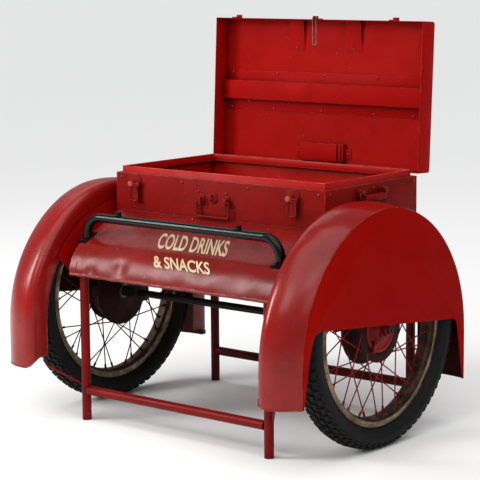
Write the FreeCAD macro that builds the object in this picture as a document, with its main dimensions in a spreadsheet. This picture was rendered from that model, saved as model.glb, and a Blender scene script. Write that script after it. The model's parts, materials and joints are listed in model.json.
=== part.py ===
"""Vending cart: a steel trunk with a lift-up lid on a tube frame, carried by two spoked wheels.

Millimetres. +Z is up, Z = 0 is the floor, the front faces -Y and the right wheel is at +X.
The origin is on the floor under the middle of the cart.
"""
import FreeCAD
import Part
import math
import operator
import os
import Sketcher

Vector = FreeCAD.Vector
doc = FreeCAD.newDocument("VendingCart")
sheet = doc.addObject("Spreadsheet::Sheet", "Dims")

# ---------------------------------------------------------------- driving dimensions
DIMENSIONS = {
    # trunk
    "trunk_width": 720, "trunk_depth": 405, "trunk_front": -75.5, "trunk_floor": 430,
    "trunk_top": 658, "sheet": 1.5, "collar_inset": 12, "collar_rise": 17,
    # lid
    "lid_wall": 57, "lid_gap": 0.8, "lid_open": 93, "hinge_back": 3.5, "hinge_up": 1.5,
    "strap_web": 50, "strap_rise": 20, "strap_flange": 32, "gusset_width": 52,
    "lid_round": 9, "gusset_drop": 18, "gusset_reach": 86, "pocket_width": 150,
    "pocket_left": -73, "pocket_back": 60, "pocket_depth": 51, "pocket_rise": 12,
    # legs and rails
    "leg_dia": 25, "pipe_wall": 2, "front_leg_x": 318, "front_leg_y": -252.5,
    "rear_leg_x": 349, "rear_leg_y": 321, "upper_rail_z": 417.5, "front_rail_z": 82,
    "rear_rail_z": 90,
    # wheels
    "axle_y": 3.5, "axle_z": 308, "axle_dia": 20, "bracket_x": 343, "bracket_thick": 8,
    "track_half": 460, "tyre_radius": 308, "tyre_half": 39, "tyre_depth": 57, "tyre_wall": 7,
    "rim_radius": 251, "rim_half": 23, "spoke_dia": 3.4, "hub_radius": 78, "hub_flange": 87,
    "hub_flange_inner": 97, "hub_inner": 38, "hub_outer": 15, "plate_radius": 61.5,
    # fenders
    "fender_y": -17.5, "fender_z": 265, "fender_plate_x": 508, "fender_inner_x": 398,
    "fender_crown": 367, "fender_crease": 356, "fender_nose": 24, "fender_tuck": 12,
    "fender_inner": 300, "fender_front_drop": 95, "fender_rear_drop": 142,
    "fender_left_less": 30, "fender_left_low": 21,
    # apron and bumper
    "apron_left": 343, "apron_right": 385, "apron_top_z": 556, "crease_y": -234,
    "crease_z": 483, "bulge_y": -268, "bulge_z": 450, "lip_y": -284.5, "lip_z": 406,
    "bar_dia": 25, "bar_y": -214.5, "bar_z": 551, "bar_left": 340, "bar_right": 327,
    "bar_bend": 50,
    # handles and latches
    "bail_half": 56, "bail_drop": 42, "bail_x": -4, "bail_z": 604, "bail_tuck": 18,
    "wire_dia": 6, "side_bail_half": 62, "side_bail_z": 639, "side_bail_y": 115,
    "staple_x": -11, "latch_left": 280, "latch_right": 268, "latch_drop": 28,
    "hook_left": 295, "hook_right": 255, "eye_x": 1,
}


class Size:
    """A number together with the sheet formula that gives it."""

    def __init__(self, value, text):
        self.value = float(value)
        self.text = text

    def combine(self, sign, function, other, swapped=False):
        pair = (other, self) if swapped else (self, other)
        values = [float(p) for p in pair]
        texts = [p.text if isinstance(p, Size) else repr(float(p)) for p in pair]
        return Size(function(*values), "(%s %s %s)" % (texts[0], sign, texts[1]))

    def __float__(self):
        return self.value

    def __neg__(self):
        return self * -1

    def __add__(self, other):
        return self.combine("+", operator.add, other)

    def __radd__(self, other):
        return self.combine("+", operator.add, other, swapped=True)

    def __sub__(self, other):
        return self.combine("-", operator.sub, other)

    def __rsub__(self, other):
        return self.combine("-", operator.sub, other, swapped=True)

    def __mul__(self, other):
        return self.combine("*", operator.mul, other)

    def __rmul__(self, other):
        return self.combine("*", operator.mul, other, swapped=True)

    def __truediv__(self, other):
        return self.combine("/", operator.truediv, other)


class Sizes:
    """Every driving dimension by name."""


size = Sizes()
for row, (alias, number) in enumerate(DIMENSIONS.items(), start=1):
    sheet.set("A%d" % row, alias)
    sheet.set("B%d" % row, str(number))
    sheet.setAlias("B%d" % row, alias)
    setattr(size, alias, Size(number, "Dims." + alias))
doc.recompute()

nodes = []
SIDES = (("left", -1), ("right", 1))


# ---------------------------------------------------------------- helpers
def bind(obj, prop, amount):
    """Set a property and tie it to the sheet when the amount comes from there."""
    if isinstance(amount, Size):
        obj.setExpression(prop, amount.text)
    elif prop.startswith("Placement"):
        obj.setExpression(prop, repr(float(amount)))
    else:
        setattr(obj, prop, float(amount))


def place(obj, base, turn=None):
    """Put an object at base, turned by turn = (axis, degrees)."""
    if turn:
        obj.Placement.Rotation = FreeCAD.Rotation(Vector(*turn[0]), float(turn[1]))
    for letter, amount in zip("xyz", base):
        bind(obj, "Placement.Base." + letter, amount)
    return obj


def keep(obj, label):
    """Make an object one of the cart's pieces."""
    obj.Label = label
    nodes.append(obj)
    return obj


def box(name, corner, extent):
    """A block from its lowest corner."""
    obj = doc.addObject("Part::Box", name)
    for prop, amount in zip(("Length", "Width", "Height"), extent):
        bind(obj, prop, amount)
    return place(obj, corner)


TURNS = {"x": ((0, 1, 0), 90), "z": None}


def rod(name, start, axis, radius, length):
    """A round bar from its start along +x or +z."""
    obj = doc.addObject("Part::Cylinder", name)
    bind(obj, "Radius", radius)
    bind(obj, "Height", length)
    return place(obj, start, TURNS[axis])


def cut(name, base, *tools):
    """Base less its tools."""
    for number, tool in enumerate(tools):
        obj = doc.addObject("Part::Cut", "%s_%d" % (name, number))
        obj.Base = base
        obj.Tool = tool
        base = obj
    return base


def rounded(name, base, radius):
    """A block with its two long top edges, the ones along X, rounded over."""
    doc.recompute()
    top = base.Shape.BoundBox.ZMax
    edges = [number for number, edge in enumerate(base.Shape.Edges, start=1)
             if abs(edge.BoundBox.ZMin - top) < 1e-6 and edge.BoundBox.YLength < 1e-6]
    obj = doc.addObject("Part::Fillet", name)
    obj.Base = base
    obj.Edges = [(number, float(radius), float(radius)) for number in edges]
    return obj


def pipe(name, start, axis, diameter, length):
    """A hollow round tube along one axis."""
    outer = rod(name + "_outer", start, axis, diameter / 2, length)
    inner = rod(name + "_bore", start, axis, diameter / 2 - size.pipe_wall, length)
    return cut(name, outer, inner)


def join(name, *parts):
    """Several pieces welded into one."""
    obj = doc.addObject("Part::MultiFuse", name)
    obj.Shapes = list(parts)
    return obj


def group(name, *parts):
    """Identical pieces kept as separate solids in one object."""
    obj = doc.addObject("Part::Compound", name)
    obj.Links = list(parts)
    return obj


def shaped(name, shape, base=(0, 0, 0)):
    """A piece whose form only a direct shape can give."""
    obj = doc.addObject("Part::Feature", name)
    obj.Shape = shape
    obj.Placement.Base = Vector(*[float(b) for b in base])
    return obj


def plane_of(body, role):
    """One of a body's own origin planes."""
    return next(f for f in body.Origin.OriginFeatures if f.Role == role)


def outline(sketch, points):
    """A closed polygon whose every corner is held by the sheet."""
    count = len(points)
    first = sketch.GeometryCount
    for number in range(count):
        here, there = points[number], points[(number + 1) % count]
        sketch.addGeometry(Part.LineSegment(Vector(float(here[0]), float(here[1]), 0),
                                            Vector(float(there[0]), float(there[1]), 0)))
    for number in range(count):
        sketch.addConstraint(Sketcher.Constraint("Coincident", first + number, 2,
                                                 first + (number + 1) % count, 1))
    for number, point in enumerate(points):
        for kind, amount in zip(("DistanceX", "DistanceY"), point):
            index = sketch.addConstraint(Sketcher.Constraint(kind, -1, 1, first + number, 1,
                                                             float(amount)))
            if isinstance(amount, Size):
                sketch.setExpression("Constraints[%d]" % index, amount.text)


def sketched(name, role, loops):
    """A body and a sketch of closed polygons on one of its origin planes."""
    body = doc.addObject("PartDesign::Body", name)
    sketch = body.newObject("Sketcher::SketchObject", name + "_sketch")
    sketch.AttachmentSupport = (plane_of(body, role), "")
    sketch.MapMode = "FlatFace"
    for points in loops:
        outline(sketch, points)
    return body, sketch


def turned(name, points, base):
    """A body turned about its own X axis from a half section of (x, radius) corners."""
    body, sketch = sketched(name, "XZ_Plane", [points])
    revolution = body.newObject("PartDesign::Revolution", name + "_turn")
    revolution.Profile = sketch
    revolution.ReferenceAxis = (sketch, ["H_Axis"])
    revolution.Angle = 360
    body.Tip = revolution
    return place(body, base)


def padded(name, role, loops, length, base, symmetric=False):
    """A body pulled straight out of a sketch."""
    body, sketch = sketched(name, role, loops)
    pad = body.newObject("PartDesign::Pad", name + "_pad")
    pad.Profile = sketch
    pad.Midplane = symmetric
    bind(pad, "Length", length)
    body.Tip = pad
    return place(body, base)


def bent_rod(points, bend, radius):
    """A round bar along straight runs with arcs of one radius at the corners between them."""
    runs = []
    at = points[0]
    for before, corner, after in zip(points, points[1:], points[2:]):
        into = (corner - before).normalize()
        out = (after - corner).normalize()
        half = into.getAngle(out) / 2
        back = bend * math.tan(half)
        start, end = corner - into * back, corner + out * back
        middle = corner + (out - into).normalize() * (bend / math.cos(half) - bend)
        runs.append(Part.LineSegment(at, start).toShape())
        runs.append(Part.Arc(start, middle, end).toShape())
        at = end
    runs.append(Part.LineSegment(at, points[-1]).toShape())
    path = Part.Wire(runs)
    section = Part.Wire(Part.Circle(points[0], (points[1] - points[0]).normalize(), radius).toShape())
    return path.makePipeShell([section], True, False)


def rivet_row(places, axis, radius, height):
    """Round-headed rivets, each a low cone on a short cylinder, pointing along axis."""
    heads = []
    for spot in places:
        stem = Part.makeCylinder(radius, height / 2, spot, axis)
        crown = Part.makeCone(radius, radius / 2, height / 2, spot + axis * (height / 2), axis)
        heads.append(stem.fuse(crown).removeSplitter())
    return Part.makeCompound(heads)


# ---------------------------------------------------------------- legs and frame
def build_frame():
    """Four tube legs, two low stretchers and the welded frame that the trunk sits on."""
    for name, side in SIDES:
        for end, leg_x, leg_y in (("front", size.front_leg_x, size.front_leg_y),
                                  ("rear", size.rear_leg_x, size.rear_leg_y)):
            label = "%s_leg_%s" % (end, name)
            keep(pipe(label, (leg_x * side, leg_y, 0), "z", size.leg_dia,
                      size.upper_rail_z - size.leg_dia / 2), label)
    inset = size.leg_dia / 2
    for end, leg_x, leg_y, height in (
            ("front", size.front_leg_x, size.front_leg_y, size.front_rail_z),
            ("rear", size.rear_leg_x, size.rear_leg_y, size.rear_rail_z)):
        label = end + "_lower_rail"
        keep(pipe(label, (inset - leg_x, leg_y, height), "x", size.leg_dia,
                  (leg_x - inset) * 2), label)
    rail_z = float(size.upper_rail_z)
    radius = float(size.leg_dia) / 2
    front = Vector(float(size.front_leg_x), float(size.front_leg_y), rail_z)
    rear = Vector(float(size.rear_leg_x), float(size.rear_leg_y), rail_z)
    bars = []
    for side in (-1, 1):
        start = Vector(front.x * side, front.y - radius, rail_z)
        run = Vector(rear.x * side, rear.y + radius, rail_z) - start
        bars.append(Part.makeCylinder(radius, run.Length, start, run))
    trunk_front = float(size.trunk_front)
    for bar_y in (front.y, trunk_front + 2 * radius, rear.y):
        share = (bar_y - front.y) / (rear.y - front.y)
        half = front.x + (rear.x - front.x) * share
        bars.append(Part.makeCylinder(radius, 2 * half, Vector(-half, bar_y, rail_z), Vector(1, 0, 0)))
    frame = bars[0].multiFuse(bars[1:])
    keep(shaped("upper_frame", frame), "upper_frame")


# ---------------------------------------------------------------- trunk
def build_trunk():
    """The riveted sheet box with its upstanding collar."""
    sheet_t = size.sheet
    shell = box("trunk_block", (size.trunk_width / -2, size.trunk_front, size.trunk_floor),
                (size.trunk_width, size.trunk_depth, size.trunk_top - size.trunk_floor))
    hollow = box("trunk_hollow",
                 (size.trunk_width / -2 + sheet_t, size.trunk_front + sheet_t,
                  size.trunk_floor + sheet_t),
                 (size.trunk_width - 2 * sheet_t, size.trunk_depth - 2 * sheet_t,
                  size.trunk_top - size.trunk_floor))
    keep(cut("trunk_body_shape", shell, hollow), "trunk_body")
    # the collar: a flat ledge on the wall tops, a step down to the inset wall that rises above it
    inset = size.collar_inset
    ledge = box("ledge_block", (size.trunk_width / -2 + sheet_t, size.trunk_front + sheet_t,
                                size.trunk_top - 2 * sheet_t),
                (size.trunk_width - 2 * sheet_t, size.trunk_depth - 2 * sheet_t, sheet_t))
    rise = box("rise_block", (size.trunk_width / -2 + inset, size.trunk_front + inset,
                              size.trunk_top - 2 * sheet_t),
               (size.trunk_width - 2 * inset, size.trunk_depth - 2 * inset,
                size.collar_rise + 2 * sheet_t))
    mouth = box("collar_mouth", (size.trunk_width / -2 + inset + sheet_t,
                                 size.trunk_front + inset + sheet_t,
                                 size.trunk_top - 3 * sheet_t),
                (size.trunk_width - 2 * (inset + sheet_t), size.trunk_depth - 2 * (inset + sheet_t),
                 size.collar_rise + 5 * sheet_t))
    keep(cut("collar_shape", join("collar_solid", ledge, rise), mouth), "trunk_collar")
    # rivets along the upper edge of the front and sides
    front_y = float(size.trunk_front)
    top = float(size.trunk_top)
    front_spots = [Vector(x, front_y, top - 12) for x in (-340, -120, 109, 340)]
    front_spots += [Vector(x, front_y, top - 31) for x in (-60, 36)]
    side_x = float(size.trunk_width) / 2
    sides = []
    for side in (-1, 1):
        spots = [Vector(side_x * side, y, top - 12) for y in (-55, 130, 315)]
        sides.append(rivet_row(spots, Vector(side, 0, 0), 4, 3))
    front = rivet_row(front_spots, Vector(0, -1, 0), 4, 3)
    keep(shaped("trunk_rivet_set", Part.makeCompound([front] + sides)), "trunk_rivets")


# ---------------------------------------------------------------- lid
def lid_turn():
    """The placement that swings a closed lid back to its open rest about the hinge line."""
    pivot = hinge_line()
    swing = FreeCAD.Rotation(Vector(1, 0, 0), -float(size.lid_open))
    return FreeCAD.Placement(Vector(), swing, pivot)


def hinge_line():
    """A point on the lid's hinge line, behind and just above the trunk's rear edge."""
    return Vector(0, float(size.trunk_front + size.trunk_depth + size.hinge_back),
                  float(size.trunk_top + size.hinge_up))


def swung(obj, label):
    """Swing a piece drawn on the closed lid to its open rest and keep it."""
    holder = doc.addObject("Part::Compound", label + "_open")
    holder.Links = [obj]
    holder.Placement = lid_turn()
    return keep(holder, label)


def build_lid():
    """The shallow lid tray, its inside strap, gussets, pocket and hooks."""
    thick = size.sheet
    half = size.trunk_width / 2
    rim = size.trunk_top + size.lid_gap
    tray = box("lid_block", (-half, size.trunk_front, rim),
               (size.trunk_width, size.trunk_depth, size.lid_wall))
    hollow = box("lid_hollow", (thick - half, size.trunk_front + thick, rim - thick),
                 (size.trunk_width - 2 * thick, size.trunk_depth - 2 * thick, size.lid_wall))
    shell = cut("lid_tray", rounded("lid_round", tray, size.lid_round),
                rounded("lid_hollow_round", hollow, size.lid_round - thick))
    swung(shell, "lid_shell")
    under = rim + size.lid_wall - thick
    middle = size.trunk_front + size.trunk_depth / 2 + 3
    inside = size.trunk_width - 2 * thick

    # hat-section strap from side to side: a raised web between two riveted flanges
    web = size.strap_web
    rise = size.strap_rise
    flange = size.strap_flange
    hat = padded("lid_strap_body", "YZ_Plane", [[
        (web / -2 - flange, 0), (web / -2 - flange, -thick), (web / -2 - thick, -thick),
        (web / -2 - thick, -rise), (web / 2 + thick, -rise), (web / 2 + thick, -thick),
        (web / 2 + flange, -thick), (web / 2 + flange, 0), (web / 2, 0),
        (web / 2, thick - rise), (web / -2, thick - rise), (web / -2, 0)]],
        inside, (0, middle, under), symmetric=True)
    swung(hat, "lid_strap")

    # two bent straps that brace the front wall to the top
    braces = []
    front_in = size.trunk_front + thick
    drop, reach = size.gusset_drop, size.gusset_reach
    gusset_middles = (-101, 98)
    for number, gusset_x in enumerate(gusset_middles):
        brace = padded("gusset_body_%d" % number, "YZ_Plane", [[
            (0, -drop), (0, 10 - drop), (reach - 18, 0), (reach, 0), (reach, -thick),
            (reach - 17, -thick), (thick, 8 - drop), (thick, -drop)]],
            size.gusset_width, (gusset_x, front_in, under), symmetric=True)
        braces.append(brace)
    swung(group("gusset_pair", *braces), "lid_gussets")

    # open-topped pocket near the hinge side
    pocket_front = size.trunk_front + size.trunk_depth - size.pocket_back
    left, width = size.pocket_left, size.pocket_width
    depth, rise = size.pocket_depth, size.pocket_rise
    right = left + width
    outer = box("pocket_block", (left, pocket_front, under - rise), (width, depth, rise))
    inner = box("pocket_hollow", (left + thick, pocket_front - thick, under - rise + thick),
                (width - 2 * thick, depth, rise))
    tabs = [box("pocket_tab_%d" % n, (x, pocket_front + 12, under - thick), (22, 30, thick))
            for n, x in enumerate((left - 22, right))]
    ribs = [box("pocket_rib_%d" % n, (right - x, pocket_front, under - rise - 4), (5, depth, 4.5))
            for n, x in enumerate((24, 12))]
    sleeve = cut("pocket_shell", outer, inner)
    swung(join("pocket_shape", sleeve, *(tabs + ribs)), "lid_pocket")

    # rivets through the strap's flanges, the gusset tabs and the pocket tabs
    z_strap = float(under - thick)
    mid_y = float(middle)
    line = float(web) / 2 + 25
    spots = [Vector(x, mid_y - line, z_strap) for x in (-335, -170, 0, 182)]
    spots += [Vector(x, mid_y + line, z_strap) for x in (-335, -180, -8, 172, 305)]
    spots += [Vector(x, float(front_in + reach) - 8, z_strap) for x in gusset_middles]
    spots += [Vector(float(x), float(pocket_front) + 27, z_strap) for x in (left - 11, right + 11)]
    heads = shaped("lid_rivet_set", rivet_row(spots, Vector(0, 0, -1), 4, 3))
    swung(heads, "lid_rivets")

    # two catch hooks that stand on the lid's front edge
    hooks = []
    for name, hook_x in (("left", -size.hook_left), ("right", size.hook_right)):
        hook = padded("hook_body_" + name, "YZ_Plane", [[
            (0, 0), (-3, 0), (-3, 20), (-9, 20), (-9, 25), (0, 25)]],
            18, (hook_x, size.trunk_front, rim + 4), symmetric=True)
        hooks.append(hook)
    swung(group("hook_pair", *hooks), "lid_hooks")


def build_hinges():
    """Three butt hinges: leaves on the trunk, leaves on the lid and the pins they share."""
    pivot = hinge_line()
    lower, upper, pins = [], [], []
    wall_back = float(size.trunk_front + size.trunk_depth)
    for hinge_x in (-250, 0, 250):
        knuckle = 3.2
        pin = Part.makeCylinder(1.6, 64, pivot + Vector(hinge_x - 32, 0, 0), Vector(1, 0, 0))
        pins.append(pin)
        for shift, length, target in ((-30, 19, lower), (-9, 18, upper), (11, 19, lower)):
            barrel = Part.makeCylinder(knuckle, length, pivot + Vector(hinge_x + shift, 0, 0),
                                       Vector(1, 0, 0))
            if target is lower:
                leaf = Part.makeBox(length, 1.8, 30, Vector(hinge_x + shift, wall_back, pivot.z - 31))
            else:
                leaf = Part.makeBox(length, 1.8, 30, Vector(hinge_x + shift, wall_back, pivot.z + 1))
            bore = Part.makeCylinder(1.65, length, pivot + Vector(hinge_x + shift, 0, 0),
                                     Vector(1, 0, 0))
            target.append(barrel.fuse(leaf).cut(bore).removeSplitter())
    keep(shaped("hinge_leaf_set", Part.makeCompound(lower)), "hinge_leaves_trunk")
    keep(shaped("hinge_pin_set", Part.makeCompound(pins)), "hinge_pins")
    swung(shaped("lid_leaf_set", Part.makeCompound(upper)), "hinge_leaves_lid")


# ---------------------------------------------------------------- wheels
def build_axle():
    """The through axle, its drop brackets, spacers and end nuts."""
    axle_y, axle_z = size.axle_y, size.axle_z
    reach = size.track_half + 46
    keep(rod("axle_rod", (-reach, axle_y, axle_z), "x", size.axle_dia / 2, reach * 2), "axle")
    brackets = []
    for name, side in SIDES:
        low = size.bracket_x if side > 0 else -size.bracket_x - size.bracket_thick
        plate = box("bracket_plate_" + name, (low, axle_y - 25, axle_z - 22),
                    (size.bracket_thick, 50, size.upper_rail_z - axle_z + 30))
        eye = rod("bracket_eye_" + name, (low, axle_y, axle_z), "x", size.axle_dia / 2,
                  size.bracket_thick)
        brackets.append(cut("bracket_" + name, plate, eye))
    keep(group("bracket_pair", *brackets), "axle_brackets")
    spacers = []
    nuts = []
    for name, side in SIDES:
        first = size.bracket_x + size.bracket_thick
        last = size.track_half - size.hub_inner - 12
        low = first if side > 0 else -last
        tube = rod("spacer_tube_" + name, (low, axle_y, axle_z), "x", size.axle_dia / 2 + 5,
                   last - first)
        hole = rod("spacer_bore_" + name, (low, axle_y, axle_z), "x", size.axle_dia / 2,
                   last - first)
        spacers.append(cut("spacer_" + name, tube, hole))
        face = float(size.track_half + size.hub_outer + 16)
        hexagon = Part.makePolygon([Vector(face * side, 17 * math.cos(math.radians(60 * k)),
                                           17 * math.sin(math.radians(60 * k)))
                                    for k in range(7)])
        solid = Part.Face(hexagon).extrude(Vector(11 * side, 0, 0))
        bore = Part.makeCylinder(float(size.axle_dia) / 2, 12, Vector(face * side, 0, 0),
                                 Vector(side, 0, 0))
        nuts.append(shaped("nut_" + name, solid.cut(bore), (0, axle_y, axle_z)))
    clips = []
    for name, side in SIDES:
        face = size.track_half + size.hub_outer + 12
        low = face if side > 0 else -(face + 4)
        clip = box("clip_block_" + name, (low, axle_y - 18, axle_z - 20), (4, 36, 42))
        slot = box("clip_slot_" + name, (low - 1, axle_y - size.axle_dia / 2, axle_z),
                   (6, size.axle_dia, 40))
        seat = rod("clip_seat_" + name, (low - 1, axle_y, axle_z), "x", size.axle_dia / 2, 6)
        clips.append(cut("clip_" + name, clip, slot, seat))
    keep(group("clip_pair", *clips), "axle_clips")
    keep(group("spacer_pair", *spacers), "axle_spacers")
    keep(group("nut_pair", *nuts), "axle_nuts")


def build_wheel(name, side):
    """Tyre, rim, laced spokes and hub, turning together, and the brake plate that stands still."""
    centre = (size.track_half * side, size.axle_y, size.axle_z)
    radius, half, depth = size.tyre_radius, size.tyre_half, size.tyre_depth
    lip, rim_half, wall = size.rim_radius, size.rim_half, size.tyre_wall
    bead = lip - 14
    crown = [(half * 0.98, radius - depth * 0.72), (half, radius - depth * 0.48),
             (half * 0.9, radius - depth * 0.22), (half * 0.64, radius - depth * 0.06),
             (half * 0.32, radius)]
    cavity = [(half - wall, radius - depth * 0.7), (half - wall, radius - depth * 0.5),
              (half * 0.72, radius - depth * 0.3), (half * 0.3, radius - depth * 0.2)]
    heel = [(rim_half - 3.2, bead + 2.2), (rim_half - 3.2, lip + 1), (half * 0.75, lip + 8)]
    toe = [(rim_half - 10, bead + 2.2), (rim_half - 10, lip + 4)]
    right = heel + crown
    right_in = toe + cavity
    points = right + [(-x, r) for x, r in right[::-1]]
    points += [(-x, r) for x, r in right_in] + right_in[::-1]
    keep(turned("tyre_body_" + name, points, centre), "tyre_" + name)

    # rim: two rolled flanges, a bead seat and a drop well
    rim = turned("rim_body_" + name, [
        (-rim_half, bead - 1), (-rim_half, lip), (3 - rim_half, lip), (3 - rim_half, bead + 2),
        (-12, bead + 2), (-9, bead - 6), (9, bead - 6), (12, bead + 2), (rim_half - 3, bead + 2),
        (rim_half - 3, lip), (rim_half, lip), (rim_half, bead - 1), (13, bead - 1), (11, bead - 9),
        (-11, bead - 9), (-13, bead - 1)], centre)
    keep(rim, "rim_" + name)

    # hub: a drum with a spoke flange at each end, open outboard for the brake plate
    inner = size.hub_inner * -side
    outer = size.hub_outer * side
    mid_in, mid_out = inner + 8 * side, outer - 8 * side
    bore, drum, mouth = size.axle_dia / 2 + 10, size.hub_radius, size.plate_radius + 2
    flange, flange_in = size.hub_flange, size.hub_flange_inner
    hub_points = [
        (inner - 10 * side, bore), (inner - 10 * side, 34), (inner, 58), (inner, flange_in),
        (inner + 4 * side, flange_in), (mid_in, drum), (mid_out, drum), (outer - 4 * side, flange),
        (outer, flange), (outer, mouth), (mid_in + 4 * side, mouth), (mid_in + 4 * side, 34),
        (outer - 12 * side, 34), (outer - 12 * side, bore)]
    keep(turned("hub_body_" + name, hub_points, centre), "hub_" + name)
    rings = []
    for number, offset in enumerate((inner - 10 * side, outer - 24 * side)):
        width = 12 * side
        ring = turned("bearing_%s_%d" % (name, number), [
            (offset, size.axle_dia / 2 + 0.05), (offset, bore), (offset + width, bore),
            (offset + width, size.axle_dia / 2 + 0.05)], centre)
        rings.append(ring)
    keep(group("bearing_pair_" + name, *rings), "hub_bearings_" + name)

    # spokes: eighteen a side, crossed in opposite pairs from the hub flanges to the rim well
    wires = []
    wire = float(size.spoke_dia) / 2
    count = 36
    rim_ring = float(bead) - 8.5
    for number in range(count):
        flange_x = float(inner + 2 * side) if number % 2 else float(outer - 2 * side)
        hub_ring = float(flange_in if number % 2 else flange) - 5
        lean = 1 if (number // 2) % 2 else -1
        rim_angle = 2 * math.pi * number / count
        hub_angle = rim_angle + lean * math.radians(48)
        elbow = float(side) * (3.2 if (number // 2) % 2 else -3.2)
        start = Vector(flange_x + elbow, hub_ring * math.sin(hub_angle), hub_ring * math.cos(hub_angle))
        nipple = Vector(5 if flange_x > 0 else -5, rim_ring * math.sin(rim_angle),
                        rim_ring * math.cos(rim_angle))
        run = nipple - start
        shaft = Part.makeCylinder(wire, run.Length, start, run)
        elbow_ball = Part.makeSphere(wire, start)
        collar = Part.makeCylinder(wire * 1.8, 14, nipple - run * (14 / run.Length), run)
        head = Part.makeCylinder(wire, abs(elbow), start, Vector(-elbow, 0, 0))
        wires.append(shaft.fuse([elbow_ball, collar, head]).removeSplitter())
    keep(shaped("spoke_set_" + name, Part.makeCompound(wires), centre), "spokes_" + name)

    # brake plate: a dished cover with a raised ring, set in the drum's mouth
    axle_radius, plate_radius = size.axle_dia / 2, size.plate_radius
    plate = turned("plate_body_" + name, [
        (outer - 8 * side, axle_radius), (outer - 8 * side, 28), (outer - 3 * side, 28),
        (outer - 3 * side, plate_radius), (outer + side, plate_radius),
        (outer + 3 * side, plate_radius - 4), (outer + 3 * side, plate_radius - 9),
        (outer + 0.5 * side, plate_radius - 11), (outer + 0.5 * side, 33),
        (outer + 7 * side, 28), (outer + 9 * side, 22), (outer + 12 * side, 20),
        (outer + 12 * side, axle_radius)], centre)
    keep(plate, "brake_plate_" + name)
    return centre, float(outer)


def build_brake_lever(name, side, centre, face):
    """The brake cam's short arm on the plate: a boss on its spindle and a flat arm below."""
    pivot = Vector(face + side, -29, -32)
    along = Vector(0, -0.42, -0.907)
    across = Vector(0, 0.907, -0.42)
    out = Vector(side, 0, 0)
    boss = Part.makeCylinder(6, 8, pivot, out)
    spindle = Part.makeCylinder(3, 12, pivot, out)
    corner = pivot + out * 3.5 - across * 5
    length, width = along * 26, across * 10
    arm = Part.Face(Part.makePolygon([corner, corner + length, corner + length + width,
                                      corner + width, corner])).extrude(out * 4)
    cable_pin = Part.makeCylinder(4, 8, pivot + out * 2.5 + along * 21, out)
    lever = boss.fuse([spindle, arm, cable_pin]).removeSplitter()
    keep(shaped("lever_shape_" + name, lever, centre), "brake_lever_" + name)


# ---------------------------------------------------------------- fenders
def fender_radii(angle, side):
    """The crown's, the outer crease's and the inner edge's radius at an angle from the front.

    The right fender swells towards its front end, and the left one is drawn in there instead.
    """
    nose = max(0.0, math.cos(angle)) ** 0.8
    share = min(1.0, max(0.0, (math.degrees(angle) - 30) / 70))
    less = float(size.fender_left_less) * (1 + math.cos(math.pi * share)) / 2 if side < 0 else 0.0
    crown = float(size.fender_crown) - less + float(size.fender_nose) * nose
    crease = float(size.fender_crease) - less * 0.4 - float(size.fender_tuck) * nose
    return crown, crease, float(size.fender_inner)


def fender_section(angle, drop, side):
    """One thin cross section of a fender crown, at an angle round from the front.

    Below the fender's centre both ends run straight down; drop is how far below it lies.
    """
    crown, crease, inner = fender_radii(angle, side)
    thick = float(size.sheet)
    edge = float(size.fender_plate_x) + thick
    skirt = float(size.fender_inner_x)
    swell = crown - crease
    flat = Part.BSplineCurve()
    flat.interpolate([Vector(edge, crease), Vector(edge - 26, crease + swell * 0.6),
                      Vector(edge - 52, crease + swell * 0.92), Vector(edge - 78, crown),
                      Vector(skirt + 13, crown - 3), Vector(skirt + 3, crown - 14),
                      Vector(skirt, crown - 34),
                      Vector(skirt, (crown - 34 + inner) / 2), Vector(skirt, inner)])
    samples = [flat.FirstParameter + (flat.LastParameter - flat.FirstParameter) * k / 10
               for k in range(11)]
    outer_curve = [flat.value(t) for t in samples]
    inner_curve = []
    for t, point in zip(samples, outer_curve):
        along = flat.tangent(t)[0]
        inner_curve.append(point + Vector(-along.y, along.x, 0) * thick)

    def spot(point):
        return Vector(point.x * side, -point.y * math.cos(angle), point.y * math.sin(angle) - drop)

    edges = []
    for curve in (outer_curve, inner_curve[::-1]):
        spline = Part.BSplineCurve()
        spline.interpolate([spot(p) for p in curve])
        edges.append(spline.toShape())
    edges.insert(1, Part.LineSegment(spot(outer_curve[-1]), spot(inner_curve[-1])).toShape())
    edges.append(Part.LineSegment(spot(inner_curve[0]), spot(outer_curve[0])).toShape())
    return Part.Wire(edges)


def fender_drops(side):
    """How far the front and the rear toe hang below the fender's centre."""
    low = size.fender_left_low if side < 0 else 0
    return float(size.fender_front_drop + low), float(size.fender_rear_drop)


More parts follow.
